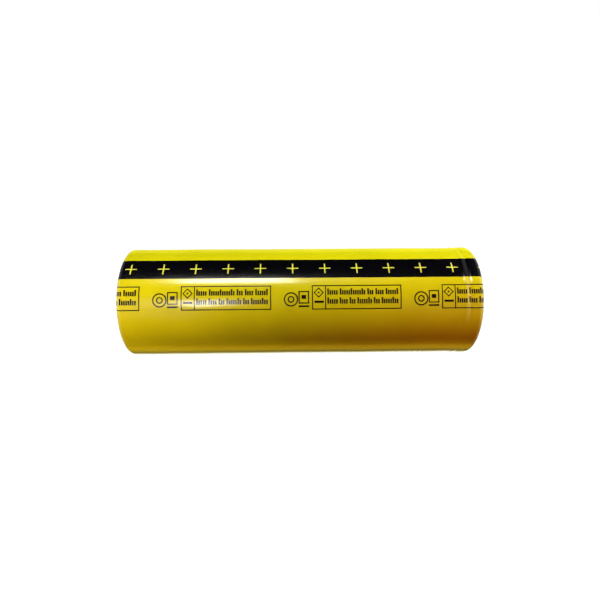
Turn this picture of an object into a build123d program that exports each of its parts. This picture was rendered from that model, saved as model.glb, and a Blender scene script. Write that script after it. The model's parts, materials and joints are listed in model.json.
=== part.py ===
from build123d import *
import os

# Round lithium iron phosphate cell in the 38120 format, in a printed heat-shrink sleeve.
# Millimetres. The cell lies on its side: its axis is X, and +X points to the positive terminal.
# The origin is on the axis, halfway between the negative end and the top of the terminal.
# Turned pieces are drawn as (x, radius) profiles and revolved about X.

# Driving dimensions
TOTAL_LENGTH = 123.2
CAN_RADIUS = 19.0
CAN_WALL = 0.4
CAN_CORNER = 1.2
HEAD_RADIUS = 18.85  # of the can above its bead
SLEEVE_WALL = 0.2
TERMINAL_RISE = 1.4  # top of the terminal above the crimped lip

# Bead and crimp of the can
BEAD_FROM_CRIMP = 4.6
BEAD_DEPTH = 1.8
BEAD_HALF_FLOOR = 0.75
BEAD_HALF_MOUTH = 1.35
BEAD_BEND = 0.65
CRIMP_BORE = 15.8
CRIMP_CORNER = 1.1
BEND = 0.5  # usual radius where thin sheet is folded

# Cup of fish paper over the crimped head and the bead, and the sleeve's folded lips
CUP_WALL = 0.35
CUP_BORE = 12.2
CUP_CORNER = 1.35
NEGATIVE_LIP_BORE = 15.2
POSITIVE_LIP_BORE = 14.8
SKIRT_RISE = 0.10  # of the film above the can at the cup's free edge
SKIRT_DIP = 0.03  # the same, where film and cup draw in over the bead
SKIRT_RAMP = 0.4
SKIRT_BEND = 1.0
RIDGE_BEND = 0.3

# Stations along the axis
X_NEGATIVE = -TOTAL_LENGTH / 2
X_CAN_BOTTOM = X_NEGATIVE + SLEEVE_WALL
X_CAN_FLOOR = X_CAN_BOTTOM + CAN_WALL
X_TERMINAL_TOP = TOTAL_LENGTH / 2
X_CRIMP = X_TERMINAL_TOP - TERMINAL_RISE
X_CUP_FACE = X_CRIMP + CUP_WALL
X_BEAD = X_CRIMP - BEAD_FROM_CRIMP
X_BEAD_MOUTH = X_BEAD - BEAD_HALF_MOUTH
X_HEAD_WALL = X_BEAD + 1.05
X_LEDGE = X_BEAD + 1.5  # the bead's inner face, which the closure sits on
X_RIDGE = X_BEAD - 1.1  # of the film, just before the cup's free edge
X_SKIRT = X_RIDGE + 0.1
X_DIP = X_BEAD + 0.7
X_HEAD = X_BEAD + 1.25

# Closure, from the crimped lip down to the bead
GASKET_WALL = 0.45
GASKET_OUTER = HEAD_RADIUS - CAN_WALL
GASKET_CORNER = CRIMP_CORNER - CAN_WALL + 0.05
STACK_GAP = GASKET_CORNER - GASKET_WALL  # round the stacked discs, inside the gasket
GASKET_LIP_BORE = 15.2
GASKET_FLOOR_BORE = 16.0
STACK_RADIUS = GASKET_OUTER - GASKET_WALL - STACK_GAP
TERMINAL_WALL = 0.6
VENT_WALL = 0.35
STACK_INSULATOR_WALL = 0.4
STACK_INSULATOR_BORE = 15.0
BASE_WALL = 0.45
X_UNDER_LIP = X_CRIMP - CAN_WALL
X_TERMINAL_FLANGE = X_UNDER_LIP - GASKET_WALL
X_VENT_FLANGE = X_TERMINAL_FLANGE - TERMINAL_WALL
X_INSULATOR_FLANGE = X_VENT_FLANGE - VENT_WALL
X_BASE_FLANGE = X_INSULATOR_FLANGE - STACK_INSULATOR_WALL

# Positive terminal: a hat whose flank has gas outlets
BUTTON_RADIUS = 8.2
BUTTON_FOOT = 11.2
BUTTON_EDGE = 0.8
OUTLETS = 4
OUTLET_RADIUS = 0.75

# Vent disc and the plate under it
VENT_DISH = 1.3
VENT_DISH_RIM = 14.4
VENT_DISH_FLOOR = 12.8
VENT_NIB = 1.1
VENT_NIB_FOOT = 2.6
VENT_NIB_TIP = 1.5
SCORE_RADIUS = 8.0
SCORE_WIDTH = 0.3
SCORE_DEPTH = 0.14
BASE_DISH = 2.0
BASE_DISH_RIM = 14.6
BASE_DISH_FLOOR = 13.2
BASE_HOLES = 6
BASE_HOLE_RADIUS = 1.25
BASE_HOLE_CIRCLE = 8.5
X_BASE_UNDERSIDE = X_BASE_FLANGE - BASE_WALL - BASE_DISH

# Winding: its half turns are arcs about two centres, half a pitch apart, so that they join smoothly
TURNS = 10
CORE_RADIUS = 3.0
ANODE_COATING = 0.20
ANODE_FOIL = 0.08
CATHODE_COATING = 0.24
CATHODE_FOIL = 0.10
SEPARATOR_FILM = 0.12
LAYER_GAP = 0.03
ANODE_SHEET = 2 * ANODE_COATING + ANODE_FOIL
CATHODE_SHEET = 2 * CATHODE_COATING + CATHODE_FOIL
PITCH = ANODE_SHEET + CATHODE_SHEET + 2 * SEPARATOR_FILM + 4 * LAYER_GAP
LAST_HALF_TURN = 2 * TURNS - 1

# Where each layer starts and ends along the axis, from the ends of the winding
SEPARATOR_SETBACK = 0.9
ANODE_SETBACKS = (2.2, 1.6)
CATHODE_SETBACKS = (2.9, 2.4)

# Pieces at the ends of the winding
COLLECTOR_WALL = 0.3
COLLECTOR_RADIUS = 17.6
COLLECTOR_BORE = 1.5
COLLECTOR_SLOTS = 4
SLOT_START = 7.5
SLOT_WIDTH = 2.0
WELD_PAD_RADIUS = 3.0
WELD_PAD_FOOT = 4.6
WELD_PAD_DEPTH = 0.8
INSULATOR_WALL = 0.4
TOP_INSULATOR_RADIUS = 18.3
TOP_INSULATOR_BORE = 7.6
TOP_INSULATOR_HOLES = 8
TOP_INSULATOR_HOLE_CIRCLE = 13.0
TOP_INSULATOR_HOLE_RADIUS = 1.0
FLOOR_INSULATOR_RADIUS = CAN_RADIUS - CAN_CORNER - 0.1
FLOOR_INSULATOR_BORE = 6.2
X_NEGATIVE_COLLECTOR = X_CAN_FLOOR + WELD_PAD_DEPTH
X_ROLL_START = X_NEGATIVE_COLLECTOR + COLLECTOR_WALL
X_TOP_INSULATOR = X_BEAD - 2.4
X_ROLL_END = X_TOP_INSULATOR - 0.6

# Lead, tape, core pin and the weld under the can
LEAD_WALL = 0.3
LEAD_WIDTH = 8.0
LEAD_BEND = 1.0
LEAD_FOLD = 5.0
LEAD_TIP = -3.5
TAPE_FILM = 0.12
TAPE_WIDTH = 24.0
TAPE_SETBACK = 8.0
PIN_RADIUS = 2.4
PIN_WALL = 0.3
PIN_SLIT = 0.5
PIN_SETBACK = 1.0
WELD_SEAM = (2.3, 2.9)
WELD_SEAM_DEPTH = 0.1

CUT = 1.0  # how far a cutting tool runs past a face
UPWARD = (Align.CENTER, Align.CENTER, Align.MIN)


def turned_sheet(points, radii, thickness, side=Side.LEFT):
    """A sheet turned about X: one face follows the (x, radius) points, rounded by radii."""
    line = FilletPolyline(*points, radius=radii)
    outline = Wire(line.edges()).offset_2d(thickness, side=side, closed=True)
    return revolve(Face(outline), Axis.X, 360)


def ring(x_start, x_end, inner, outer):
    """A flat ring about X between two stations."""
    length = x_end - x_start
    body = Plane.YZ.offset(x_start) * Cylinder(outer, length, align=UPWARD)
    bore = Plane.YZ.offset(x_start - CUT) * Cylinder(inner, length + 2 * CUT, align=UPWARD)
    return body - bore


def drill_circle(body, count, circle_radius, hole_radius, x_start, x_end):
    """Holes along X through the body, evenly spaced on a circle."""
    drill = Cylinder(hole_radius, x_end - x_start + 2 * CUT, align=UPWARD)
    for place in PolarLocations(circle_radius, count):
        body -= Plane.YZ.offset(x_start - CUT) * place * drill
    return body


def slot_collector(disc, x_start, x_end):
    """Radial slots from SLOT_START out through the collector's rim."""
    length = COLLECTOR_RADIUS + CUT - SLOT_START
    cutter = Box(length, SLOT_WIDTH, x_end - x_start + 2 * CUT, align=UPWARD)
    for place in PolarLocations(SLOT_START + length / 2, COLLECTOR_SLOTS):
        disc -= Plane.YZ.offset(x_start - CUT) * place * cutter
    return disc


def half_turn(number, offset):
    """One half turn of the winding at a radial offset from its line, as an arc across the axis."""
    is_upper = number % 2 == 0
    centre = (-PITCH / 4 if is_upper else PITCH / 4, 0)
    radius = CORE_RADIUS + number * PITCH / 2 + offset
    return CenterArc(centre, radius, 0 if is_upper else 180, 180).edge()


def wound_sheet(inner, thickness, x_start, x_end, first=0, last=LAST_HALF_TURN):
    """A sheet wound from half turn first to half turn last, starting at the radial offset inner."""
    numbers = range(first, last + 1)
    inside = [half_turn(number, inner) for number in numbers]
    outside = [half_turn(number, inner + thickness) for number in numbers]
    start = Edge.make_line(inside[0] @ 0, outside[0] @ 0)
    end = Edge.make_line(inside[-1] @ 1, outside[-1] @ 1)
    section = Face(Wire(inside + outside + [start, end]))
    return extrude(Plane.YZ.offset(x_start) * section, x_end - x_start, dir=(1, 0, 0))


def can():
    """Deep-drawn can with a bead near its mouth, its rim crimped inward over the gasket."""
    bead_radius = CAN_RADIUS - BEAD_DEPTH
    points = [
        (X_CAN_BOTTOM, 0),
        (X_CAN_BOTTOM, CAN_RADIUS),
        (X_BEAD_MOUTH, CAN_RADIUS),
        (X_BEAD - BEAD_HALF_FLOOR, bead_radius),
        (X_BEAD + BEAD_HALF_FLOOR, bead_radius),
        (X_HEAD_WALL, HEAD_RADIUS),
        (X_CRIMP, HEAD_RADIUS),
        (X_CRIMP, CRIMP_BORE),
    ]
    radii = [CAN_CORNER, BEND, BEAD_BEND, BEAD_BEND, BEND, CRIMP_CORNER]
    shell = turned_sheet(points, radii, CAN_WALL, Side.RIGHT)
    return shell - ring(X_CAN_BOTTOM - CUT, X_CAN_BOTTOM + WELD_SEAM_DEPTH, *WELD_SEAM)


def over_head(bore):
    """The cup's outside from its dip over the bead to its face, and in to a bore."""
    outer = HEAD_RADIUS + CUP_WALL
    return [(X_DIP, CAN_RADIUS + SKIRT_DIP), (X_HEAD, outer), (X_CUP_FACE, outer), (X_CUP_FACE, bore)]


def end_cup():
    """Insulating paper cup over the crimped head, its skirt across the bead, under the sleeve."""
    slope = (SKIRT_RISE - SKIRT_DIP) / (X_DIP - X_RIDGE)
    edge_radius = CAN_RADIUS + SKIRT_RISE - slope * (X_SKIRT - X_RIDGE)
    points = [(X_SKIRT, edge_radius), *over_head(CUP_BORE)]
    return turned_sheet(points, [SKIRT_BEND, SKIRT_BEND, CUP_CORNER], CUP_WALL, Side.RIGHT)


def sleeve():
    """Heat-shrink film: it hugs the can, climbs over the cup's skirt and folds over both ends."""
    points = [
        (X_CAN_BOTTOM, NEGATIVE_LIP_BORE),
        (X_CAN_BOTTOM, CAN_RADIUS),
        (X_RIDGE - SKIRT_RAMP, CAN_RADIUS),
        (X_RIDGE, CAN_RADIUS + SKIRT_RISE),
        *over_head(POSITIVE_LIP_BORE),
    ]
    radii = [CAN_CORNER, BEND, RIDGE_BEND, SKIRT_BEND, SKIRT_BEND, CUP_CORNER]
    return turned_sheet(points, radii, SLEEVE_WALL)


def gasket():
    """Sealing gasket: a C section round the edge of the closure."""
    points = [
        (X_LEDGE, GASKET_FLOOR_BORE),
        (X_LEDGE, GASKET_OUTER),
        (X_UNDER_LIP, GASKET_OUTER),
        (X_UNDER_LIP, GASKET_LIP_BORE),
    ]
    return turned_sheet(points, [GASKET_CORNER, GASKET_CORNER], GASKET_WALL, Side.RIGHT)


def terminal_cap():
    """Positive terminal: a pressed steel hat with gas outlets in its flank."""
    points = [
        (X_TERMINAL_FLANGE, STACK_RADIUS),
        (X_TERMINAL_FLANGE, BUTTON_FOOT),
        (X_TERMINAL_TOP, BUTTON_RADIUS),
        (X_TERMINAL_TOP, 0),
    ]
    hat = turned_sheet(points, [BEND, BUTTON_EDGE], TERMINAL_WALL, Side.RIGHT)
    flank = (BUTTON_RADIUS + BUTTON_FOOT) / 2
    return drill_circle(hat, OUTLETS, flank, OUTLET_RADIUS, X_VENT_FLANGE, X_TERMINAL_TOP)


def vent_disc():
    """Safety vent: a dished aluminium disc, scored in a circle, its nib welded to the base plate."""
    x_dish = X_VENT_FLANGE - VENT_DISH
    x_nib = x_dish - VENT_NIB
    points = [
        (X_VENT_FLANGE, STACK_RADIUS),
        (X_VENT_FLANGE, VENT_DISH_RIM),
        (x_dish, VENT_DISH_FLOOR),
        (x_dish, VENT_NIB_FOOT),
        (x_nib, VENT_NIB_TIP),
        (x_nib, 0),
    ]
    disc = turned_sheet(points, [BEND, BEND, BEND, BEND], VENT_WALL, Side.RIGHT)
    score_edges = (SCORE_RADIUS - SCORE_WIDTH / 2, SCORE_RADIUS + SCORE_WIDTH / 2)
    return disc - ring(x_dish - SCORE_DEPTH, x_dish + CUT, *score_edges)


def base_plate():
    """Dished aluminium plate under the vent disc, with gas holes."""
    x_dish = X_BASE_FLANGE - BASE_DISH
    points = [
        (X_BASE_FLANGE, STACK_RADIUS),
        (X_BASE_FLANGE, BASE_DISH_RIM),
        (x_dish, BASE_DISH_FLOOR),
        (x_dish, 0),
    ]
    plate = turned_sheet(points, [BEND, BEND], BASE_WALL, Side.RIGHT)
    return drill_circle(plate, BASE_HOLES, BASE_HOLE_CIRCLE, BASE_HOLE_RADIUS, x_dish - BASE_WALL, x_dish)


def stack_insulator():
    """Insulating ring that keeps the vent disc off the base plate."""
    return ring(X_BASE_FLANGE, X_INSULATOR_FLANGE, STACK_INSULATOR_BORE, STACK_RADIUS)


def positive_lead():
    """Aluminium strip folded into a C, from the positive collector up to the base plate."""
    x_low = X_ROLL_END + COLLECTOR_WALL
    points = [
        (x_low, LEAD_TIP),
        (x_low, LEAD_FOLD),
        (X_BASE_UNDERSIDE, LEAD_FOLD),
        (X_BASE_UNDERSIDE, LEAD_TIP),
    ]
    line = FilletPolyline(*points, radius=[LEAD_BEND, LEAD_BEND])
    outline = Wire(line.edges()).offset_2d(LEAD_WALL, side=Side.RIGHT, closed=True)
    return extrude(Plane.XZ * Face(outline), LEAD_WIDTH / 2, both=True)


def positive_collector():
    """Slotted aluminium disc welded to the bare edge of the cathode foil."""
    x_end = X_ROLL_END + COLLECTOR_WALL
    return slot_collector(ring(X_ROLL_END, x_end, COLLECTOR_BORE, COLLECTOR_RADIUS), X_ROLL_END, x_end)


def negative_collector():
    """Slotted copper disc, dished at its middle down to the can's floor, where it is welded."""
    points = [
        (X_CAN_FLOOR, 0),
        (X_CAN_FLOOR, WELD_PAD_RADIUS),
        (X_NEGATIVE_COLLECTOR, WELD_PAD_FOOT),
        (X_NEGATIVE_COLLECTOR, COLLECTOR_RADIUS),
    ]
    disc = turned_sheet(points, [BEND, BEND], COLLECTOR_WALL, Side.RIGHT)
    return slot_collector(disc, X_CAN_FLOOR, X_ROLL_START)


def top_insulator():
    """Insulating disc between the winding and the bead, open in the middle for the lead."""
    x_end = X_TOP_INSULATOR + INSULATOR_WALL
    disc = ring(X_TOP_INSULATOR, x_end, TOP_INSULATOR_BORE, TOP_INSULATOR_RADIUS)
    holes = (TOP_INSULATOR_HOLES, TOP_INSULATOR_HOLE_CIRCLE, TOP_INSULATOR_HOLE_RADIUS)
    return drill_circle(disc, *holes, X_TOP_INSULATOR, x_end)


def floor_insulator():
    """Insulating disc on the can's floor, open in the middle for the collector's weld."""
    return ring(X_CAN_FLOOR, X_CAN_FLOOR + INSULATOR_WALL, FLOOR_INSULATOR_BORE, FLOOR_INSULATOR_RADIUS)


def separator(inner):
    """A wound separator film, which reaches past the coatings at both ends."""
    span = (X_ROLL_START + SEPARATOR_SETBACK, X_ROLL_END - SEPARATOR_SETBACK)
    return [wound_sheet(inner, SEPARATOR_FILM, *span)]


def anode(inner):
    """The wound anode: copper foil, bare at the negative end, coated on both faces."""
    span = (X_ROLL_START + ANODE_SETBACKS[0], X_ROLL_END - ANODE_SETBACKS[1])
    foil = inner + ANODE_COATING
    return {
        "anode_foil": [wound_sheet(foil, ANODE_FOIL, X_ROLL_START, span[1])],
        "anode_coating": [wound_sheet(face, ANODE_COATING, *span) for face in (inner, foil + ANODE_FOIL)],
    }


def cathode(inner):
    """The wound cathode: aluminium foil, bare at the positive end, coated on both faces.
    It is half a turn shorter than the anode at each end."""
    span = (X_ROLL_START + CATHODE_SETBACKS[0], X_ROLL_END - CATHODE_SETBACKS[1])
    turns = (1, LAST_HALF_TURN - 1)
    foil = inner + CATHODE_COATING
    faces = (inner, foil + CATHODE_FOIL)
    return {
        "cathode_foil": [wound_sheet(foil, CATHODE_FOIL, span[0], X_ROLL_END, *turns)],
        "cathode_coating": [wound_sheet(face, CATHODE_COATING, *span, *turns) for face in faces],
    }


def winding():
    """The layers of the winding, from the inside of a turn outwards."""
    inner_film = ANODE_SHEET + LAYER_GAP
    cathode_face = inner_film + SEPARATOR_FILM + LAYER_GAP
    outer_film = cathode_face + CATHODE_SHEET + LAYER_GAP
    return {
        **anode(0),
        "inner_separator": separator(inner_film),
        **cathode(cathode_face),
        "outer_separator": separator(outer_film),
    }


def closing_tape():
    """Two bands of tape that hold the last turn of the winding closed."""
    starts = (X_ROLL_START + TAPE_SETBACK, X_ROLL_END - TAPE_SETBACK - TAPE_WIDTH)
    turns = (LAST_HALF_TURN - 1, LAST_HALF_TURN)
    return [wound_sheet(PITCH - LAYER_GAP, TAPE_FILM, x, x + TAPE_WIDTH, *turns) for x in starts]


def core_pin():
    """Rolled steel tube in the core of the winding, with a slit along it."""
    span = (X_ROLL_START + PIN_SETBACK, X_ROLL_END - PIN_SETBACK)
    slit = Box(TOTAL_LENGTH, PIN_SLIT, PIN_RADIUS + CUT, align=UPWARD)
    return ring(*span, PIN_RADIUS - PIN_WALL, PIN_RADIUS) - slit


def main():
    os.makedirs("parts", exist_ok=True)
    nodes = {
        "sleeve": [sleeve()],
        "end_cup": [end_cup()],
        "can": [can()],
        "terminal_cap": [terminal_cap()],
        "vent_disc": [vent_disc()],
        "stack_insulator": [stack_insulator()],
        "base_plate": [base_plate()],
        "gasket": [gasket()],
        "positive_lead": [positive_lead()],
        "top_insulator": [top_insulator()],
        "positive_collector": [positive_collector()],
        **winding(),
        "closing_tape": closing_tape(),
        "core_pin": [core_pin()],
        "negative_collector": [negative_collector()],
        "floor_insulator": [floor_insulator()],
    }
    for name, pieces in nodes.items():
        solids = [solid for piece in pieces for solid in piece.solids()]
        node = Compound(solids)
        export_step(node, f"parts/{name}.step")
        box = node.bounding_box()
        print(f"{name}: {len(solids)} solids, x {box.min.X:.2f} to {box.max.X:.2f}, radius {box.max.Y:.2f}")


main()
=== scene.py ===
"""Looks of a round battery cell in a printed heat-shrink sleeve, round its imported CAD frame.

The cell lies on its side along X, with the positive terminal at +X. Lengths are metres.
The sleeve's film is a surface of revolution with small relief. A place on it is given by a run,
the length along its profile from x = 0, and a turn, the angle about X from -Y towards +Z.
"""
import json
import math

import bpy
import numpy as np
from mathutils import Matrix, Vector
from mathutils.geometry import delaunay_2d_cdt


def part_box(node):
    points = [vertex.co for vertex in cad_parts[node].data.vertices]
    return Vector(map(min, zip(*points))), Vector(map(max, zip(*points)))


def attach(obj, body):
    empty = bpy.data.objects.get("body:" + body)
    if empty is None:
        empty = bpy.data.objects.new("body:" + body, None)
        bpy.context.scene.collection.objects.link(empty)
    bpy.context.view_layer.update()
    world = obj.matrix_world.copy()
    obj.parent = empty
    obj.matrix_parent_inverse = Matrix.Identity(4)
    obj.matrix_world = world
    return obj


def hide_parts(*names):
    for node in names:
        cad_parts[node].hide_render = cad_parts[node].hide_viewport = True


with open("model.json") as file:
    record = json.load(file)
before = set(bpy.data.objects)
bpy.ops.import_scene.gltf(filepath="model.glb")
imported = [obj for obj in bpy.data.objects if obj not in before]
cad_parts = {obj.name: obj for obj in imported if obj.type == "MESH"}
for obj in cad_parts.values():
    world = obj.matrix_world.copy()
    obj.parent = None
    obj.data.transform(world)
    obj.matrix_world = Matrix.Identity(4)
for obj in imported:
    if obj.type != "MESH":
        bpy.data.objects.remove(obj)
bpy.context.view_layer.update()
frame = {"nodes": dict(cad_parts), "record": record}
nodes = frame["nodes"]
mounts = {mount["name"]: mount for mount in frame["record"]["mounts"]}

MM = 0.001

# From the frame
sleeve_low, sleeve_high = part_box("sleeve")
FILM_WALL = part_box("can")[0].x - sleeve_low.x
BARREL_RADIUS = mounts["barrel"]["dims"]["r_mm"] * MM
HEAD_RADIUS = sleeve_high.z
X_LEFT = sleeve_low.x
X_RIGHT = sleeve_high.x
FLOOR_Z = -HEAD_RADIUS

# The camera, and how far the print is turned up towards it
CAMERA_ELEVATION = math.radians(42)
CAMERA_DISTANCE = 172.8 * MM
CAMERA_X = -3.78 * MM
CAMERA_YAW = 0.0186
CAMERA_PITCH = 0.0017
CAMERA_ROLL = 0.0081
CAMERA_SENSOR = 36  # this and the focal length are millimetres
CAMERA_FOCAL = 27.88
CAMERA_NEAR = 10 * MM
PRINT_TURN = CAMERA_ELEVATION

# The film's profile
LEFT_CORNER = 1.4 * MM
RIGHT_CORNER = 1.55 * MM
LEFT_LIP = 15.3 * MM
RIGHT_LIP = 14.9 * MM
X_RIDGE = X_RIGHT - 6.15 * MM  # where the film has climbed over the free edge of the paper cup
RIDGE_CLIMB = 0.6 * MM
RIDGE_RISE = 0.18 * MM
RIDGE_BEND = 0.5 * MM
X_DIP = X_RIGHT - 4.55 * MM  # where film and cup draw in over the can's bead
DIP_RISE = -0.05 * MM
X_HEAD = X_RIGHT - 3.80 * MM
HEAD_BEND = 0.8 * MM

# The film's mesh
BARREL_STEP = 1.2 * MM
CORNER_STEP = 0.17 * MM
LIP_STEP = 0.3 * MM
SHORTEST_STEP = CORNER_STEP / 10
LIP_POINTS = 10  # of the profile, at each of its ends
FINE_STEP = 0.35 * MM  # along the wrinkled stretch
FINE_X = (35 * MM, 49 * MM)
TURN_STEPS = 240
TURN_STEP = 2 * math.pi / TURN_STEPS * BARREL_RADIUS

# The film's relief. Waves round the cell are given as height, how many round, and phase. The slow
# ones have the length along the cell for a radian too, after the height.
SLOW_WAVES = (
    (0.020 * MM, 9.7 * MM, 2, 0.4),
    (0.014 * MM, 5.3 * MM, -3, 2.1),
    (0.010 * MM, 3.1 * MM, 5, 4.0),
    (0.008 * MM, 2.2 * MM, -7, 1.2),
)
LIP_DEPTH = 1.2 * MM  # how far from an end's face its waves reach
LIP_WAVES = ((0.012 * MM, 13, 0.0), (0.010 * MM, 23, 1.0))
PLEAT_WAVES = ((1.0, 19, 0.0), (0.7, 27, 1.7), (0.5, 41, 0.3))
PLEAT_HEIGHT = 0.09 * MM
PLEAT_START = 17.9 * MM  # the radius inside which there are pleats
PLEAT_GROWTH = 1.5
PLEAT_SHARPNESS = 1.3
RIGHT_PHASE = 2.3
BEAD_WAVES = ((0.014 * MM, 5, 0.6), (0.010 * MM, 11, 2.0))
BEAD_REACH = 1.3 * MM
SPAN_X = (X_RIDGE - 0.9 * MM, X_HEAD + 0.6 * MM)
SPAN_TURN = math.radians(-8)
SPAN_WIDTH = math.radians(30)
SPAN_SHARE = 0.9
WRINKLE_X = 41.5 * MM
WRINKLE_REACH = 5.0 * MM
WRINKLE_TURN = PRINT_TURN - math.radians(84)
WRINKLE_WIDTH = math.radians(9)
WRINKLE_HEIGHT = 0.07 * MM
WRINKLE_PITCH = 1.9 * MM


# ---------------------------------------------------------------- the film's shape

def rounded(corners):
    """Points along a profile whose (x, radius, bend) corners are turned into arcs."""
    points = [np.array(corners[0][:2])]
    for before, here, after in zip(corners, corners[1:], corners[2:]):
        corner = np.array(here[:2])
        back = np.array(before[:2]) - corner
        ahead = np.array(after[:2]) - corner
        back /= np.linalg.norm(back)
        ahead /= np.linalg.norm(ahead)
        half = math.acos(np.clip(back @ ahead, -1, 1)) / 2
        reach = here[2] / math.tan(half)
        middle = back + ahead
        centre = corner + middle / np.linalg.norm(middle) * here[2] / math.sin(half)
        start = corner + back * reach - centre
        end = corner + ahead * reach - centre
        sweep = math.pi - 2 * half
        count = max(2, math.ceil(here[2] * sweep / CORNER_STEP))
        for share in np.linspace(0, 1, count + 1):
            arm = (math.sin((1 - share) * sweep) * start + math.sin(share * sweep) * end) / math.sin(sweep)
            points.append(centre + arm)
    points.append(np.array(corners[-1][:2]))
    return points


def divided(points):
    """The same profile with its long runs divided into equal steps."""
    dense = [points[0]]
    for start, end in zip(points, points[1:]):
        length = np.linalg.norm(end - start)
        if length < SHORTEST_STEP:
            continue
        is_lip = abs(end[0] - start[0]) < SHORTEST_STEP
        if is_lip:
            shares = np.linspace(0, 1, math.ceil(length / LIP_STEP) + 1)
        else:
            stations = np.arange(start[0], end[0], BARREL_STEP)
            stations = stations[(stations < FINE_X[0]) | (stations > FINE_X[1])]
            fine = np.arange(*FINE_X, FINE_STEP)
            fine = fine[(fine > start[0]) & (fine < end[0])]
            shares = (np.sort(np.concatenate([stations, fine])) - start[0]) / (end[0] - start[0])
            shares = np.append(shares, 1)
        dense += [start + (end - start) * share for share in shares[1:]]
    return np.array(dense)


def film_profile():
    """The film's outside from the left lip to the right one."""
    corners = [
        (X_LEFT, LEFT_LIP, 0),
        (X_LEFT, BARREL_RADIUS, LEFT_CORNER),
        (X_RIDGE - RIDGE_CLIMB, BARREL_RADIUS, RIDGE_BEND),
        (X_RIDGE, BARREL_RADIUS + RIDGE_RISE, RIDGE_BEND),
        (X_DIP, BARREL_RADIUS + DIP_RISE, HEAD_BEND),
        (X_HEAD, HEAD_RADIUS, HEAD_BEND),
        (X_RIGHT, HEAD_RADIUS, RIGHT_CORNER),
        (X_RIGHT, RIGHT_LIP, 0),
    ]
    return divided(rounded(corners))


class Film:
    """The film's surface, as runs along the profile and turns about the axis."""

    def __init__(self):
        self.points = film_profile()
        steps = np.linalg.norm(np.diff(self.points, axis=0), axis=1)
        length = np.concatenate([[0], np.cumsum(steps)])
        between_lips = slice(LIP_POINTS, -LIP_POINTS)
        at_middle = np.interp(0, self.points[between_lips, 0], length[between_lips])
        self.runs = length - at_middle
        along = np.gradient(self.points, self.runs, axis=0)
        along /= np.linalg.norm(along, axis=1)[:, None]
        self.out = np.stack([-along[:, 1], along[:, 0]], 1)

    def base(self, run):
        """x, radius and outward normal of the smooth profile."""
        place = [np.interp(run, self.runs, self.points[:, k]) for k in (0, 1)]
        out = np.array([np.interp(run, self.runs, self.out[:, k]) for k in (0, 1)])
        return place[0], place[1], out / np.linalg.norm(out, axis=0)

    def at(self, run, turn, lift=0.0, relief=True):
        """Points on the film, with its relief, lifted off it."""
        x, radius, out = self.base(run)
        rise = lift + (film_relief(x, radius, turn) if relief else 0.0)
        x = x + out[0] * rise
        radius = radius + out[1] * rise
        return np.stack([x, -radius * np.cos(turn), radius * np.sin(turn)], -1)


def bump_at(value, centre, width):
    """A smooth hump, 1 at the centre."""
    return np.exp(-(((value - centre) / width) ** 2))


def smooth_step(share):
    """From 0 to 1 as the share does, level at both ends."""
    return share * share * (3 - 2 * share)


def turn_gap(turn, centre):
    """The shortest way round from the centre to the turn."""
    return (turn - centre + math.pi) % (2 * math.pi) - math.pi


def waves_round(waves, turn, phase=0.0):
    """The sum of some waves round the cell."""
    return sum(height * np.sin(count * turn + start + phase) for height, count, start in waves)


def film_relief(x, radius, turn):
    """How far shrunk film stands off its smooth profile."""
    rise = sum(
        height * np.sin(x / length + count * turn + phase) for height, length, count, phase in SLOW_WAVES
    )
    # pleats in the lips, where the film has too much edge to lie flat
    for face, lip, phase in ((X_LEFT, LEFT_LIP, 0.0), (X_RIGHT, RIGHT_LIP, RIGHT_PHASE)):
        near_face = np.clip(1 - np.abs(x - face) / LIP_DEPTH, 0, 1)
        inward = np.clip((PLEAT_START - radius) / (PLEAT_START - lip), 0, 1)
        pleats = np.clip(waves_round(PLEAT_WAVES, turn, phase), 0, None) ** PLEAT_SHARPNESS
        rise = rise + near_face * inward**PLEAT_GROWTH * pleats * PLEAT_HEIGHT
        rise = rise + near_face * waves_round(LIP_WAVES, turn, phase)
    # film stretched over the bead draws in unevenly
    over_bead = bump_at(x, (X_RIDGE + X_HEAD) / 2, BEAD_REACH)
    rise = rise + over_bead * waves_round(BEAD_WAVES, turn)
    # low on the front it spans the bead instead, from barrel to head
    share = np.clip((x - SPAN_X[0]) / (SPAN_X[1] - SPAN_X[0]), 0, 1)
    bridge = BARREL_RADIUS + (HEAD_RADIUS - BARREL_RADIUS) * smooth_step(share)
    spanned = SPAN_SHARE * bump_at(turn_gap(turn, SPAN_TURN), 0, SPAN_WIDTH)
    rise = rise + np.where((share > 0) & (share < 1), spanned * (bridge - radius), 0)
    # a short row of wrinkles low on the front, towards the positive end
    low = bump_at(turn_gap(turn, WRINKLE_TURN), 0, WRINKLE_WIDTH)
    reach = bump_at(x, WRINKLE_X, WRINKLE_REACH)
    return rise + low * reach * WRINKLE_HEIGHT * np.sin(2 * math.pi * x / WRINKLE_PITCH)


film = Film()


# ---------------------------------------------------------------- meshes

SHARP_ANGLE = math.radians(40)


def mesh_object(name, vertices, faces, material):
    """A smooth-shaded mesh object in the scene."""
    mesh = bpy.data.meshes.new(name)
    mesh.from_pydata([tuple(v) for v in vertices], [], faces)
    mesh.validate()
    mesh.polygons.foreach_set("use_smooth", [True] * len(mesh.polygons))
    mesh.set_sharp_from_angle(angle=SHARP_ANGLE)
    mesh.update()
    mesh.materials.append(material)
    item = bpy.data.objects.new(name, mesh)
    bpy.context.scene.collection.objects.link(item)
    return item


def ring_faces(rows, columns):
    """Quads between rows of a grid that closes on itself across its columns."""
    faces = []
    for row in range(rows - 1):
        for column in range(columns):
            after = (column + 1) % columns
            here, above = row * columns, (row + 1) * columns
            faces.append([here + column, here + after, above + after, above + column])
    return faces


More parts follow.
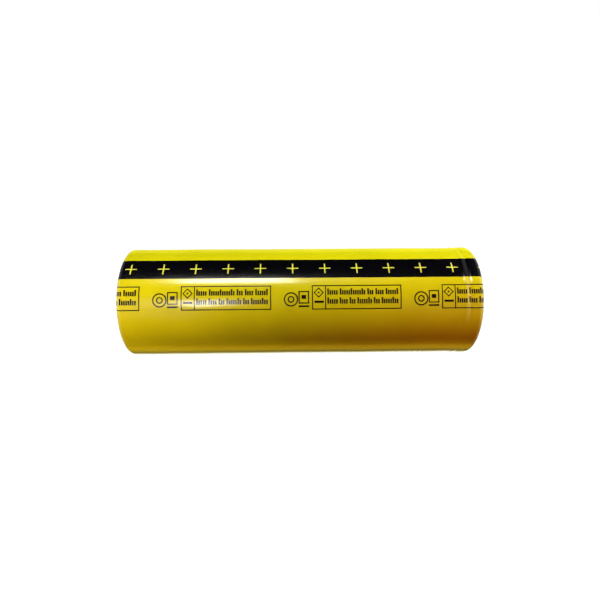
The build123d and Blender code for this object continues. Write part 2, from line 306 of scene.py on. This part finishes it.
def make_film(material):
    """The film as a closed skin, its outside shaped and its inside on the can."""
    turns = np.linspace(-math.pi, math.pi, TURN_STEPS, endpoint=False)
    rows = len(film.runs)
    run, turn = np.meshgrid(film.runs, turns, indexing="ij")
    outside = film.at(run, turn)
    inside = film.at(run, turn, lift=-FILM_WALL, relief=False)
    count = rows * TURN_STEPS
    vertices = np.concatenate([outside.reshape(-1, 3), inside.reshape(-1, 3)])
    faces = ring_faces(rows, TURN_STEPS)
    faces += [[index + count for index in face[::-1]] for face in faces]
    last = (rows - 1) * TURN_STEPS
    for column in range(TURN_STEPS):
        after = (column + 1) % TURN_STEPS
        faces.append([column + count, after + count, after, column])
        faces.append([last + column, last + after, last + after + count, last + column + count])
    return mesh_object("printed_film", vertices, faces, material)


# ---------------------------------------------------------------- print

INK_LIFT = 0.012 * MM
INK_ROOT = -0.02 * MM
LINE = 0.36 * MM
CIRCLE_SIDES = 28


def rectangle(left, low, right, high):
    """An outline, counterclockwise like those below."""
    return [(left, low), (right, low), (right, high), (left, high)]


def hollow_rectangle(left, low, right, high, width=LINE):
    """The outer and inner edge of a rectangle drawn as a line."""
    inner = rectangle(left + width, low + width, right - width, high - width)
    return [rectangle(left, low, right, high), inner]


def circle(x, y, radius):
    """A ring of points round a centre."""
    angles = [2 * math.pi * k / CIRCLE_SIDES for k in range(CIRCLE_SIDES)]
    return [(x + radius * math.cos(a), y + radius * math.sin(a)) for a in angles]


def diamond(x, y, reach):
    """A square standing on its corner."""
    return [(x + reach, y), (x, y + reach), (x - reach, y), (x, y - reach)]


SAME_PLACE = 1e-9
NEAR_END = 0.001  # a crossing this near an edge's end, as a share of it, is left out


def grid_rises(low, high):
    """The rises of the film's mesh lines between two rises."""
    return [k * TURN_STEP for k in range(math.ceil(low / TURN_STEP), math.floor(high / TURN_STEP) + 1)]


def split_at_grid(outline):
    """The outline with a point wherever it crosses a line of the film's mesh."""
    points = []
    for start, end in zip(outline, outline[1:] + outline[:1]):
        start, end = np.array(start), np.array(end)
        shares = [0.0]
        for axis, lines in ((0, film.runs), (1, grid_rises(*sorted((start[1], end[1]))))):
            reach = end[axis] - start[axis]
            if abs(reach) > SAME_PLACE:
                crossings = (np.array(lines) - start[axis]) / reach
                shares += [share for share in crossings if NEAR_END < share < 1 - NEAR_END]
        points += [tuple(start + (end - start) * share) for share in sorted(shares)]
    return points


OUTPUT_INSIDE = 1  # of the triangulation, only what lies inside some outline
MERGE_DISTANCE = 1e-7


def triangulated(outlines):
    """The area inside some outlines, as (run, rise) points and triangles that follow the film's mesh."""
    outlines = [split_at_grid(outline) for outline in outlines]
    points = [Vector(point) for outline in outlines for point in outline]
    loops = []
    for outline in outlines:
        start = sum(len(loop) for loop in loops)
        loops.append(list(range(start, start + len(outline))))
    low = [min(p[k] for p in points) for k in (0, 1)]
    high = [max(p[k] for p in points) for k in (0, 1)]
    for run in film.runs[(film.runs > low[0]) & (film.runs < high[0])]:
        points += [Vector((run, rise)) for rise in grid_rises(low[1], high[1])]
    flat, _, triangles, _, _, inside = delaunay_2d_cdt(points, [], loops, OUTPUT_INSIDE, MERGE_DISTANCE)
    triangles = [face for face, owners in zip(triangles, inside) if len(owners) % 2 == 1]
    used = sorted({index for face in triangles for index in face})
    place = {index: k for k, index in enumerate(used)}
    faces = [[place[index] for index in face] for face in triangles]
    return np.array([tuple(flat[index]) for index in used]), faces


def rim_edges(faces):
    """The edges that only one face has, in that face's direction."""
    edges = dict.fromkeys((a, b) for face in faces for a, b in zip(face, face[1:] + face[:1]))
    return [(a, b) for a, b in edges if (b, a) not in edges]


def inked(name, outlines, material):
    """A thin solid of ink on the film. Outlines are (run, rise) loops, where rise is the length round
    the barrel from the print's zero line. A loop inside another is a hole."""
    places, faces = triangulated(outlines)
    run = places[:, 0]
    turn = PRINT_TURN + places[:, 1] / BARREL_RADIUS
    top = film.at(run, turn, lift=INK_LIFT)
    bottom = film.at(run, turn, lift=INK_ROOT)
    count = len(places)
    under = [[index + count for index in face[::-1]] for face in faces]
    walls = [[b, a, a + count, b + count] for a, b in rim_edges(faces)]
    return mesh_object(name, np.concatenate([top, bottom]), faces + under + walls, material)


STRIPE_LOW = 7.87 * MM
STRIPE_HIGH = 15.85 * MM
PLUS_PITCH = 10.85 * MM
PLUS_FIRST = -57.52 * MM
PLUS_COUNT = 12
PLUS_RISE = 11.70 * MM
PLUS_HALF_WIDTH = 1.95 * MM
PLUS_HALF_HEIGHT = 2.08 * MM
PLUS_HALF_STROKE = 0.21 * MM

LABEL_PITCH = 43.3 * MM
LABEL_FIRST = -83.55 * MM  # left edge of the first box, whose start is past the end of the film
LABEL_COUNT = 4
BOX_WIDTH = 29.8 * MM
BOX_LOW = -2.95 * MM
BOX_HIGH = 5.20 * MM
BOX_DIVIDER = 4.5 * MM

# Rows of plain blocks, which stand for the words in a box. Each is given as the rise of its foot and
# how many blocks each word has.
BLOCK_ROWS = ((1.95 * MM, (5, 12, 3, 4, 6)), (-1.05 * MM, (5, 4, 3, 7, 3, 8)))
BLOCK_WIDTH = 0.55 * MM
BLOCK_PITCH = 0.72 * MM
BLOCK_HEIGHT = 1.50 * MM
TALL_HEIGHT = 2.10 * MM
TALL_EVERY = 5
ROW_START = 0.60 * MM
ROW_WIDTH = 23.6 * MM

# The mark in a box's first field: a diamond in a frame of its own shape, over a bar
DIAMOND_RISE = 2.70 * MM
DIAMOND_REACHES = (1.75 * MM, 1.25 * MM, 0.40 * MM)
FIELD_BAR_LEFT = 0.80 * MM
FIELD_BAR_RIGHT = 0.60 * MM
FIELD_BAR_RISE = (-0.75 * MM, 0.0)

# The marks before a box: a ring with a smaller one in it, and an upright frame over a bar
RING_X = -6.94 * MM
RING_RISE = 0.50 * MM
RING_WIDTH = 0.45 * MM
RING_RADII = (2.40 * MM, 1.15 * MM)
UPRIGHT_X = (-4.45 * MM, -0.95 * MM)
UPRIGHT_RISE = (-0.95 * MM, 3.27 * MM)
UPRIGHT_LINE = 0.40 * MM
UPRIGHT_BAR = (-2.09 * MM, -1.50 * MM)
CORE_INSET = 1.0 * MM
CORE_RISE = (0.60 * MM, 1.90 * MM)

PRINT_MARGIN = 2 * MM  # from the inner edges of the film's lips


def plus(x):
    """A plus sign centred at x, from the tip of its right arm."""
    width, height, stroke = PLUS_HALF_WIDTH, PLUS_HALF_HEIGHT, PLUS_HALF_STROKE
    quarter = [(width, -stroke), (width, stroke), (stroke, stroke), (stroke, height)]
    half = quarter + [(-dx, dy) for dx, dy in reversed(quarter)]
    whole = half + [(-dx, -dy) for dx, dy in half]
    corners = list(dict.fromkeys(whole))
    return [(x + dx, PLUS_RISE + dy) for dx, dy in corners]


def plus_places():
    """Where the plus signs stand along the film."""
    return [PLUS_FIRST + k * PLUS_PITCH for k in range(PLUS_COUNT)]


def make_stripe(material):
    """The black stripe along the film, with plus signs left open in it."""
    outlines = [rectangle(film.runs[0], STRIPE_LOW, film.runs[-1], STRIPE_HIGH)]
    outlines += [plus(x) for x in plus_places()]
    return inked("print_stripe", outlines, material)


def make_pluses(material):
    """The pale print that fills the openings in the stripe."""
    return inked("print_pluses", [plus(x) for x in plus_places()], material)


def block_row(left, rise, words):
    """A row of upright blocks in groups, spread over ROW_WIDTH, with some taller than the rest."""
    lengths = [(count - 1) * BLOCK_PITCH + BLOCK_WIDTH for count in words]
    gap = (ROW_WIDTH - sum(lengths)) / (len(words) - 1)
    outlines = []
    for count, length in zip(words, lengths):
        for k in range(count):
            x = left + k * BLOCK_PITCH
            height = TALL_HEIGHT if k % TALL_EVERY == 0 else BLOCK_HEIGHT
            outlines.append(rectangle(x, rise, x + BLOCK_WIDTH, rise + height))
        left += length + gap
    return outlines


def marks_in_box(left):
    """A box in two fields: a diamond over a bar, and rows of blocks."""
    right = left + BOX_WIDTH
    divider = left + BOX_DIVIDER
    middle = (left + divider) / 2
    outlines = hollow_rectangle(left, BOX_LOW, right, BOX_HIGH)
    outlines.append(rectangle(divider - LINE / 2, BOX_LOW + LINE, divider + LINE / 2, BOX_HIGH - LINE))
    outlines += [diamond(middle, DIAMOND_RISE, reach) for reach in DIAMOND_REACHES]
    low, high = FIELD_BAR_RISE
    outlines.append(rectangle(left + FIELD_BAR_LEFT, low, divider - FIELD_BAR_RIGHT, high))
    for rise, words in BLOCK_ROWS:
        outlines += block_row(divider + ROW_START, rise, words)
    return outlines


def marks_before_box(left):
    """The two plain marks before the box that starts here."""
    edges = [edge for radius in RING_RADII for edge in (radius, radius - RING_WIDTH)]
    outlines = [circle(left + RING_X, RING_RISE, edge) for edge in edges]
    start, end = left + UPRIGHT_X[0], left + UPRIGHT_X[1]
    outlines += hollow_rectangle(start, UPRIGHT_RISE[0], end, UPRIGHT_RISE[1], UPRIGHT_LINE)
    outlines.append(rectangle(start + CORE_INSET, CORE_RISE[0], end - CORE_INSET, CORE_RISE[1]))
    outlines.append(rectangle(start, UPRIGHT_BAR[0], end, UPRIGHT_BAR[1]))
    return outlines


def clipped(outlines):
    """The outlines that lie on the film, cut off at its ends."""
    low, high = film.runs[0] + PRINT_MARGIN, film.runs[-1] - PRINT_MARGIN
    kept = [o for o in outlines if max(p[0] for p in o) > low and min(p[0] for p in o) < high]
    return [[(min(max(p[0], low), high), p[1]) for p in o] for o in kept]


def make_labels(material):
    """The groups of marks along the film, a pitch apart."""
    pieces = []
    for k in range(LABEL_COUNT):
        left = LABEL_FIRST + k * LABEL_PITCH
        outlines = clipped(marks_in_box(left) + marks_before_box(left))
        pieces.append(inked(f"print_marks_{k}", outlines, material))
    return pieces


# ---------------------------------------------------------------- materials

PATTERN_START = 0.30  # the part of a noise's range over which a colour or a roughness changes
PATTERN_END = 0.75


class Material:
    """A node material with short calls for the patterns used here."""

    def __init__(self, name, colour, roughness, metallic=0.0):
        self.data = bpy.data.materials.new(name)
        self.data.use_nodes = True
        self.tree = self.data.node_tree
        self.shader = self.tree.nodes["Principled BSDF"]
        self.set("Base Color", (*colour, 1))
        self.set("Roughness", roughness)
        self.set("Metallic", metallic)
        coordinates = self.tree.nodes.new("ShaderNodeTexCoord")
        self.place = coordinates.outputs["Object"]

    def set(self, socket, value):
        self.shader.inputs[socket].default_value = value

    def link(self, output, socket):
        self.tree.links.new(output, self.shader.inputs[socket])

    def node(self, kind, **inputs):
        made = self.tree.nodes.new(kind)
        for key, value in inputs.items():
            socket = made.inputs[key.replace("_", " ")]
            if isinstance(value, bpy.types.NodeSocket):
                self.tree.links.new(value, socket)
            else:
                socket.default_value = value
        return made

    def stretched(self, scale):
        """The place on the piece, scaled along each axis."""
        return self.node("ShaderNodeMapping", Vector=self.place, Scale=scale).outputs["Vector"]

    def noise(self, size, detail=3.0, place=None, distortion=0.0):
        """Noise whose features are about this size."""
        made = self.node(
            "ShaderNodeTexNoise",
            Vector=place or self.place,
            Scale=1 / size,
            Detail=detail,
            Distortion=distortion,
        )
        return made.outputs["Fac"]

    def vary(self, socket, pattern, low, high, end=PATTERN_END):
        """Runs a socket from low to high, two greys or two colours, as the pattern rises."""
        made = self.node("ShaderNodeValToRGB", Fac=pattern)
        for element, position, value in zip(made.color_ramp.elements, (PATTERN_START, end), (low, high)):
            element.position = position
            element.color = (*value, 1) if isinstance(value, tuple) else (value, value, value, 1)
        self.link(made.outputs["Color"], socket)

    def bump(self, height, depth):
        """Relief of this depth from a height between 0 and 1, over what is there already."""
        made = self.node("ShaderNodeBump", Height=height, Distance=depth, Strength=1.0)
        normal = self.shader.inputs["Normal"]
        if normal.links:
            self.tree.links.new(normal.links[0].from_socket, made.inputs["Normal"])
        self.link(made.outputs["Normal"], "Normal")


def shade(colour, factor):
    return tuple(channel * factor for channel in colour)


FILM_YELLOW = (0.80, 0.68, 0.004)
BLACK_INK = (0.0012, 0.0010, 0.0022)
BROWN_INK = (0.012, 0.004, 0.001)
PALE_INK = (0.80, 0.75, 0.08)
FILM_IOR = 1.65
STRIPE_IOR = 1.35
PEEL_SIZE = 1.6 * MM  # orange peel, which shows through the ink too


def film_material():
    """Glossy yellow film: slow changes of pigment, smears, orange peel and fine draw lines."""
    made = Material("yellow_film", FILM_YELLOW, 0.14)
    made.set("IOR", FILM_IOR)
    clouds = made.noise(18 * MM)
    made.vary("Base Color", clouds, shade(FILM_YELLOW, 0.93), shade(FILM_YELLOW, 1.05), end=0.70)
    smears = made.noise(9 * MM, detail=4, place=made.stretched((0.35, 1, 1)))
    made.vary("Roughness", smears, 0.12, 0.17)
    draw_lines = made.noise(0.5 * MM, place=made.stretched((0.12, 1, 1)))
    made.bump(made.noise(PEEL_SIZE, detail=2), 0.006 * MM)
    made.bump(draw_lines, 0.0025 * MM)
    return made.data


def ink_material(name, colour, roughness, ior):
    """Thin ink with a little grain in its gloss."""
    made = Material(name, colour, roughness)
    made.set("IOR", ior)
    made.vary("Roughness", made.noise(0.8 * MM), roughness - 0.05, roughness + 0.08)
    made.bump(made.noise(PEEL_SIZE, detail=2), 0.008 * MM)
    return made.data


def steel_material(name, colour, roughness):
    """Nickel-plated steel: turned draw lines, smudges and fine pits."""
    made = Material(name, colour, roughness, metallic=1.0)
    smudges = made.noise(7 * MM, detail=4, distortion=0.6)
    made.vary("Roughness", smudges, roughness - 0.04, roughness + 0.06)
    made.vary("Base Color", made.noise(11 * MM), shade(colour, 0.90), shade(colour, 1.06), end=0.70)
    draw_lines = made.noise(0.25 * MM, detail=4, place=made.stretched((1, 0.2, 1)))
    made.bump(draw_lines, 0.006 * MM)
    made.bump(made.noise(0.6 * MM), 0.003 * MM)
    return made.data


def plain_material(name, colour, roughness, grain, metallic=0.0, depth=0.006 * MM):
    """Colour and roughness that vary a little, over fine grain of this size."""
    made = Material(name, colour, roughness, metallic)
    blotches = made.noise(6 * grain, detail=4)
    made.vary("Base Color", blotches, shade(colour, 0.86), shade(colour, 1.10), end=0.72)
    made.vary("Roughness", made.noise(3 * grain), roughness - 0.06, roughness + 0.08)
    made.bump(made.noise(grain), depth)
    return made.data


def foil_material(name, colour, roughness):
    """Rolled metal."""
    return plain_material(name, colour, roughness, 0.5 * MM, metallic=1.0, depth=0.004 * MM)


def paper_material():
    """Off-white fish paper with long fibres."""
    colour = (0.78, 0.77, 0.70)
    made = Material("fish_paper", colour, 0.72)
    fibres = made.noise(0.35 * MM, detail=6, place=made.stretched((1, 1, 0.25)), distortion=1.2)
    made.vary("Base Color", fibres, shade(colour, 0.88), shade(colour, 1.06), end=0.70)
    made.bump(fibres, 0.02 * MM)
    return made.data


def node_materials():
    """A material for every material slot of the record."""
    return {
        "printed_film": film_material(),
        "fish_paper": paper_material(),
        "nickel_steel": steel_material("nickel_steel", (0.62, 0.60, 0.55), 0.34),
        "bright_nickel": steel_material("bright_nickel", (0.66, 0.64, 0.59), 0.22),
        "aluminium": foil_material("rolled_aluminium", (0.80, 0.80, 0.81), 0.34),
        "insulator": plain_material("insulating_sheet", (0.50, 0.54, 0.46), 0.62, 0.4 * MM),
        "gasket": plain_material("sealing_plastic", (0.012, 0.012, 0.014), 0.45, 0.5 * MM),
        "copper": foil_material("copper_foil", (0.80, 0.38, 0.22), 0.32),
        "graphite": plain_material("graphite_coating", (0.020, 0.020, 0.022), 0.78, 0.2 * MM),
        "separator": plain_material("separator_film", (0.82, 0.82, 0.84), 0.42, 0.3 * MM),
        "cathode_mix": plain_material("cathode_coating", (0.035, 0.034, 0.036), 0.82, 0.2 * MM),
        "tape": plain_material("amber_tape", (0.52, 0.22, 0.03), 0.25, 0.6 * MM),
    }


def dress_nodes(materials):
    """Gives each CAD node the material of its slot."""
    for subpart in frame["record"]["subparts"]:
        item = nodes[subpart["node"]]
        item.data.materials.clear()
        item.data.materials.append(materials[subpart["material_slot"]])


# ---------------------------------------------------------------- stage, light and camera

STAGE_REACH = 3.0
DOME_RADIUS = 2.9
DOME_RINGS = 12
DOME_COLUMNS = 48
FLOOR_GREY = 0.10


def glow_material(name, grey):
    """Plain white that needs no light."""
    made = Material(name, (grey, grey, grey), 0.8)
    made.set("Specular IOR Level", 0.0)
    made.set("Emission Color", (1, 1, 1, 1))
    made.set("Emission Strength", 1.0)
    return made.data


def hide_from_cell(item):
    """Shows a stage piece to the camera only, so that it neither lights nor shades the cell."""
    for ray in ("diffuse", "glossy", "shadow", "transmission"):
        setattr(item, "visible_" + ray, False)


def make_floor():
    """A plain white floor under the cell."""
    signs = ((-1, -1), (1, -1), (1, 1), (-1, 1))
    corners = [(x * STAGE_REACH, y * STAGE_REACH, FLOOR_Z) for x, y in signs]
    floor = mesh_object("floor", corners, [[0, 1, 2, 3]], glow_material("pale_floor", FLOOR_GREY))
    hide_from_cell(floor)


def make_backdrop():
    """A plain white dome round the stage."""
    vertices = []
    for ring in range(DOME_RINGS):
        angle = math.radians(90) * ring / DOME_RINGS
        flat = DOME_RADIUS * math.cos(angle)
        height = FLOOR_Z + DOME_RADIUS * math.sin(angle)
        for column in range(DOME_COLUMNS):
            turn = 2 * math.pi * column / DOME_COLUMNS
            vertices.append((flat * math.cos(turn), flat * math.sin(turn), height))
    faces = ring_faces(DOME_RINGS, DOME_COLUMNS)
    dome = mesh_object("backdrop", vertices, faces, glow_material("pale_backdrop", 0.0))
    hide_from_cell(dome)


def new_light(name, place, size, power, colour, in_gloss):
    """A soft rectangular light at a place given as a matrix, shining down the place's own Z. It
    either shows in the gloss or shades the surfaces."""
    lamp = bpy.data.lights.new(name, "AREA")
    lamp.shape = "RECTANGLE"
    lamp.size, lamp.size_y = size
    lamp.energy = power
    lamp.color = colour
    item = bpy.data.objects.new(name, lamp)
    bpy.context.scene.collection.objects.link(item)
    item.matrix_world = place
    item.visible_camera = False
    item.visible_glossy = in_gloss
    item.visible_diffuse = not in_gloss


def area_light(name, elevation, distance, x, size, power, colour=(1, 1, 1), in_gloss=False):
    """A light facing the cell's axis, its length along the cell. The elevation is seen from -Y
    towards +Z."""
    tilt = Matrix.Rotation(math.radians(90 - elevation), 4, "X")
    new_light(name, tilt @ Matrix.Translation((x, 0, distance)), size, power, colour, in_gloss)


def end_light(name, side, distance, size, power):
    """A light square to one end of the cell, at +X or -X, which leaves the barrel alone."""
    turned = Matrix.Rotation(math.radians(90 * side), 4, "Y")
    new_light(name, turned @ Matrix.Translation((0, 0, distance)), (size, size), power, (1, 1, 1), False)


def surround_colours():
    """The surround's colour against the elevation in degrees, -180 to 180, seen from -Y towards +Z:
    dark in front and above, golden under the cell, and pale low behind it."""
    dark = (0.01, 0.01, 0.01)
    shadow = (0.25, 0.18, 0.03)
    amber = (1.90, 1.15, 0.03)
    golden = (1.30, 0.98, 0.05)
    straw = (0.89, 0.80, 0.06)
    cream = (0.91, 0.86, 0.10)
    pale = (1.52, 1.46, 0.75)
    return [
        (-180, straw),
        (-162, shade(cream, 1.1)),
        (-150, shade(cream, 0.95)),
        (-140, cream),
        (-130, pale),
        (-120, pale),
        (-111, shade(pale, 0.5)),
        (-102, shadow),
        (-90, golden),
        (-76, amber),
        (-66, shade(amber, 0.40)),
        (-58, shade(amber, 0.28)),
        (-49, dark),
        (165, dark),
        (180, straw),
    ]


END_TURN = (0.42, 0.56)  # how nearly along the cell a direction is where the surround turns plain
END_HEIGHT = (-0.40, 0.35)  # between these heights it goes from its low to its high grey
END_GREYS = (0.26, 0.95)


class WorldNodes:
    """The surround's node tree, with a short call to add a node."""

    def __init__(self, tree):
        self.tree = tree

    def add(self, kind, operation=None, *inputs):
        made = self.tree.nodes.new(kind)
        if operation:
            made.operation = operation
        for socket, value in zip(made.inputs, inputs):
            if isinstance(value, bpy.types.NodeSocket):
                self.tree.links.new(value, socket)
            else:
                socket.default_value = value
        return made

    def mixed(self, share, low, high):
        """The colour low where the share is 0 and high where it is 1."""
        mix = self.tree.nodes.new("ShaderNodeMix")
        mix.data_type = "RGBA"
        for socket, value in (("Factor", share), ("A", low), ("B", high)):
            self.tree.links.new(value, mix.inputs[socket])
        return mix.outputs["Result"]


def colour_round(world, direction):
    """The surround's colour at a direction's elevation."""
    front = world.add("ShaderNodeMath", "MULTIPLY", direction.outputs["Y"], -1.0)
    elevation = world.add("ShaderNodeMath", "ARCTAN2", direction.outputs["Z"], front.outputs[0])
    # as a share of the whole turn, 0 at -180 degrees
    share = world.add("ShaderNodeMath", "MULTIPLY_ADD", elevation.outputs[0], 1 / (2 * math.pi), 0.5)
    ramp = world.add("ShaderNodeValToRGB", None, share.outputs[0])
    stops = surround_colours()
    ends = ramp.color_ramp.elements
    while len(ends) < len(stops):
        ends.new(0.5)
    for element, (angle, colour) in zip(ends, stops):
        element.position = (angle + 180) / 360
        element.color = (*colour, 1)
    return ramp.outputs["Color"]


def make_surround():
    """A world seen in the gloss only. Its colour runs round the cell's long axis, and is a plain grey
    beyond the cell's ends."""
    data = bpy.data.worlds.new("surround")
    bpy.context.scene.world = data
    data.cycles_visibility.diffuse = False
    data.use_nodes = True
    world = WorldNodes(data.node_tree)
    coordinates = world.add("ShaderNodeTexCoord")
    direction = world.add("ShaderNodeSeparateXYZ", None, coordinates.outputs["Generated"])
    along = world.add("ShaderNodeMath", "ABSOLUTE", direction.outputs["X"])
    to_end = world.add("ShaderNodeMapRange", None, along.outputs[0], *END_TURN)
    grey = world.add("ShaderNodeMapRange", None, direction.outputs["Z"], *END_HEIGHT, *END_GREYS)
    colour = world.mixed(to_end.outputs["Result"], colour_round(world, direction), grey.outputs["Result"])
    data.node_tree.links.new(colour, data.node_tree.nodes["Background"].inputs["Color"])


def make_lights():
    """Two lights that show in the gloss, as the streaks along the cell, and others that shade the
    surfaces. Elevations are degrees and powers watts."""
    # name, elevation, distance, x, size along and across the cell, power, colour
    area_light("overhead", 86, 0.60, -0.0905, (0.177, 0.115), 0.97, in_gloss=True)
    area_light("front", 38.5, 0.35, -0.0965, (0.044, 0.072), 0.128, in_gloss=True)
    area_light("top", 92, 0.60, 0, (0.3, 0.22), 2.04, (0.95, 1.0, 0.87))
    area_light("right_back", 120, 0.40, 0.30, (0.3, 0.3), 2.17, (0.85, 1.0, 0.95))
    area_light("left_front", 30, 0.075, -0.070, (0.05, 0.05), 0.029, (1.0, 0.82, 0.55))
    area_light("right_front", 33, 0.10, 0.070, (0.05, 0.05), 0.024, (1.0, 0.28, 0.15))
    area_light("behind", 205, 0.60, 0, (0.6, 0.4), 1.8)
    # name, side, distance, size, power
    end_light("left_end", -1, 0.60, 0.10, 1.1)
    end_light("right_end", 1, 0.60, 0.10, 0.8)


def make_camera():
    """A close camera above the front, nearly square to the cell."""
    data = bpy.data.cameras.new("camera")
    data.sensor_width = CAMERA_SENSOR
    data.lens = CAMERA_FOCAL
    data.clip_start = CAMERA_NEAR
    item = bpy.data.objects.new("camera", data)
    bpy.context.scene.collection.objects.link(item)
    back = -CAMERA_DISTANCE * math.cos(CAMERA_ELEVATION)
    place = Vector((CAMERA_X, back, CAMERA_DISTANCE * math.sin(CAMERA_ELEVATION)))
    tilt = Matrix.Rotation(math.radians(90) - CAMERA_ELEVATION, 4, "X")
    yaw = Matrix.Rotation(-CAMERA_YAW, 4, "Y")
    pitch = Matrix.Rotation(CAMERA_PITCH, 4, "X")
    roll = Matrix.Rotation(-CAMERA_ROLL, 4, "Z")
    item.matrix_world = Matrix.Translation(place) @ tilt @ yaw @ pitch @ roll
    bpy.context.scene.camera = item


def main():
    materials = node_materials()
    dress_nodes(materials)

    skin = make_film(materials["printed_film"])
    stripe = make_stripe(ink_material("black_ink", BLACK_INK, 0.20, STRIPE_IOR))
    pluses = make_pluses(ink_material("pale_ink", PALE_INK, 0.25, STRIPE_IOR))
    labels = make_labels(ink_material("dark_ink", BROWN_INK, 0.20, FILM_IOR))
    for piece in (skin, stripe, pluses, *labels):
        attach(piece, "root")
    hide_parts("sleeve")

    make_floor()
    make_backdrop()
    make_surround()
    make_lights()
    make_camera()
    bpy.context.scene.view_settings.view_transform = "Standard"


main()
